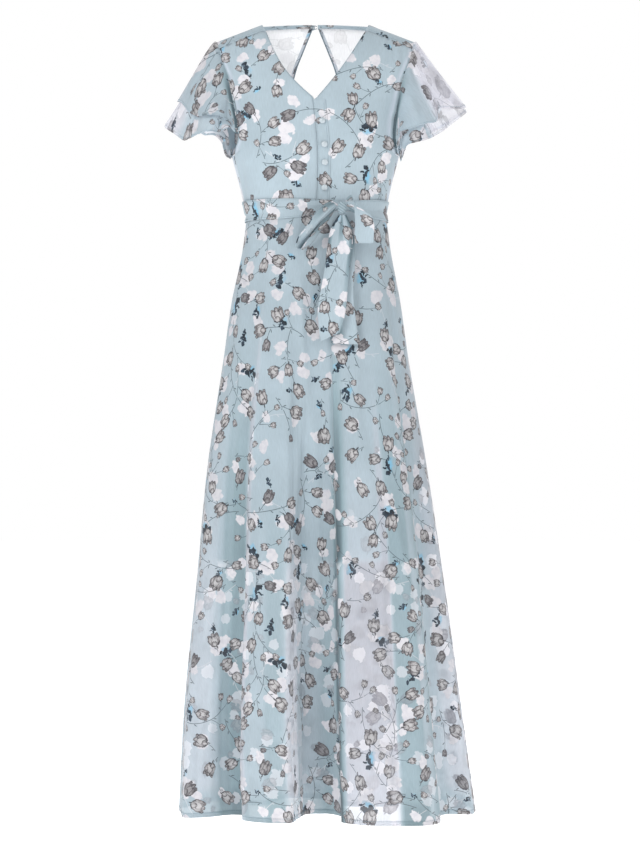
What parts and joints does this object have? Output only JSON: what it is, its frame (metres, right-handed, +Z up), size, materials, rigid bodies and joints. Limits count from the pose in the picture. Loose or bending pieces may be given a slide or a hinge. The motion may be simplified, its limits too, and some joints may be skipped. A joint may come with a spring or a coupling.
{
  "type": "maxi dress",
  "caption": "Long dress with a V neck, two-tier flutter sleeves, keyhole back, bow-tied belt and a flared sheer skirt over a shorter lining.",
  "frame": {"origin": "midway between the two high shoulder points, where the neck meets the shoulder seams and the wearer carries the dress", "axes": "+Z up along the wearer, front faces -Y, +X towards the wearer's left side"},
  "size_m": [0.5639, 0.3658, 1.4319],
  "materials": {
    "bodice_chiffon": "matt printed chiffon mounted on a plain lining",
    "sheer_chiffon": "matt printed chiffon, one sheer layer",
    "lining": "plain fine lining cloth, slightly lustrous",
    "binding": "narrow folded bias binding",
    "button": "small domed satin buttons"
  },
  "bodies": {
    "root": {"front_left": "bodice_chiffon", "front_right": "bodice_chiffon", "placket": "bodice_chiffon", "yoke_left": "bodice_chiffon", "yoke_right": "bodice_chiffon", "back_left": "sheer_chiffon", "back_right": "sheer_chiffon", "sleeve_lower_left": "sheer_chiffon", "sleeve_lower_right": "sheer_chiffon", "sleeve_upper_left": "sheer_chiffon", "sleeve_upper_right": "sheer_chiffon", "skirt_front": "sheer_chiffon", "skirt_side_left": "sheer_chiffon", "skirt_back_left": "sheer_chiffon", "skirt_back_right": "sheer_chiffon", "skirt_side_right": "sheer_chiffon", "lining_front": "lining", "lining_back": "lining", "neckband_left": "bodice_chiffon", "neckband_right": "bodice_chiffon", "keyhole_binding": "binding", "neck_loop": "binding", "neck_button": "button", "button_1": "button", "button_2": "button", "button_3": "button", "button_4": "button", "belt": "bodice_chiffon", "bow_knot": "bodice_chiffon", "bow_loop_left": "bodice_chiffon", "bow_loop_right": "bodice_chiffon", "bow_tail_front": "bodice_chiffon", "bow_tail_back": "bodice_chiffon"}
  },
  "joints": []
}
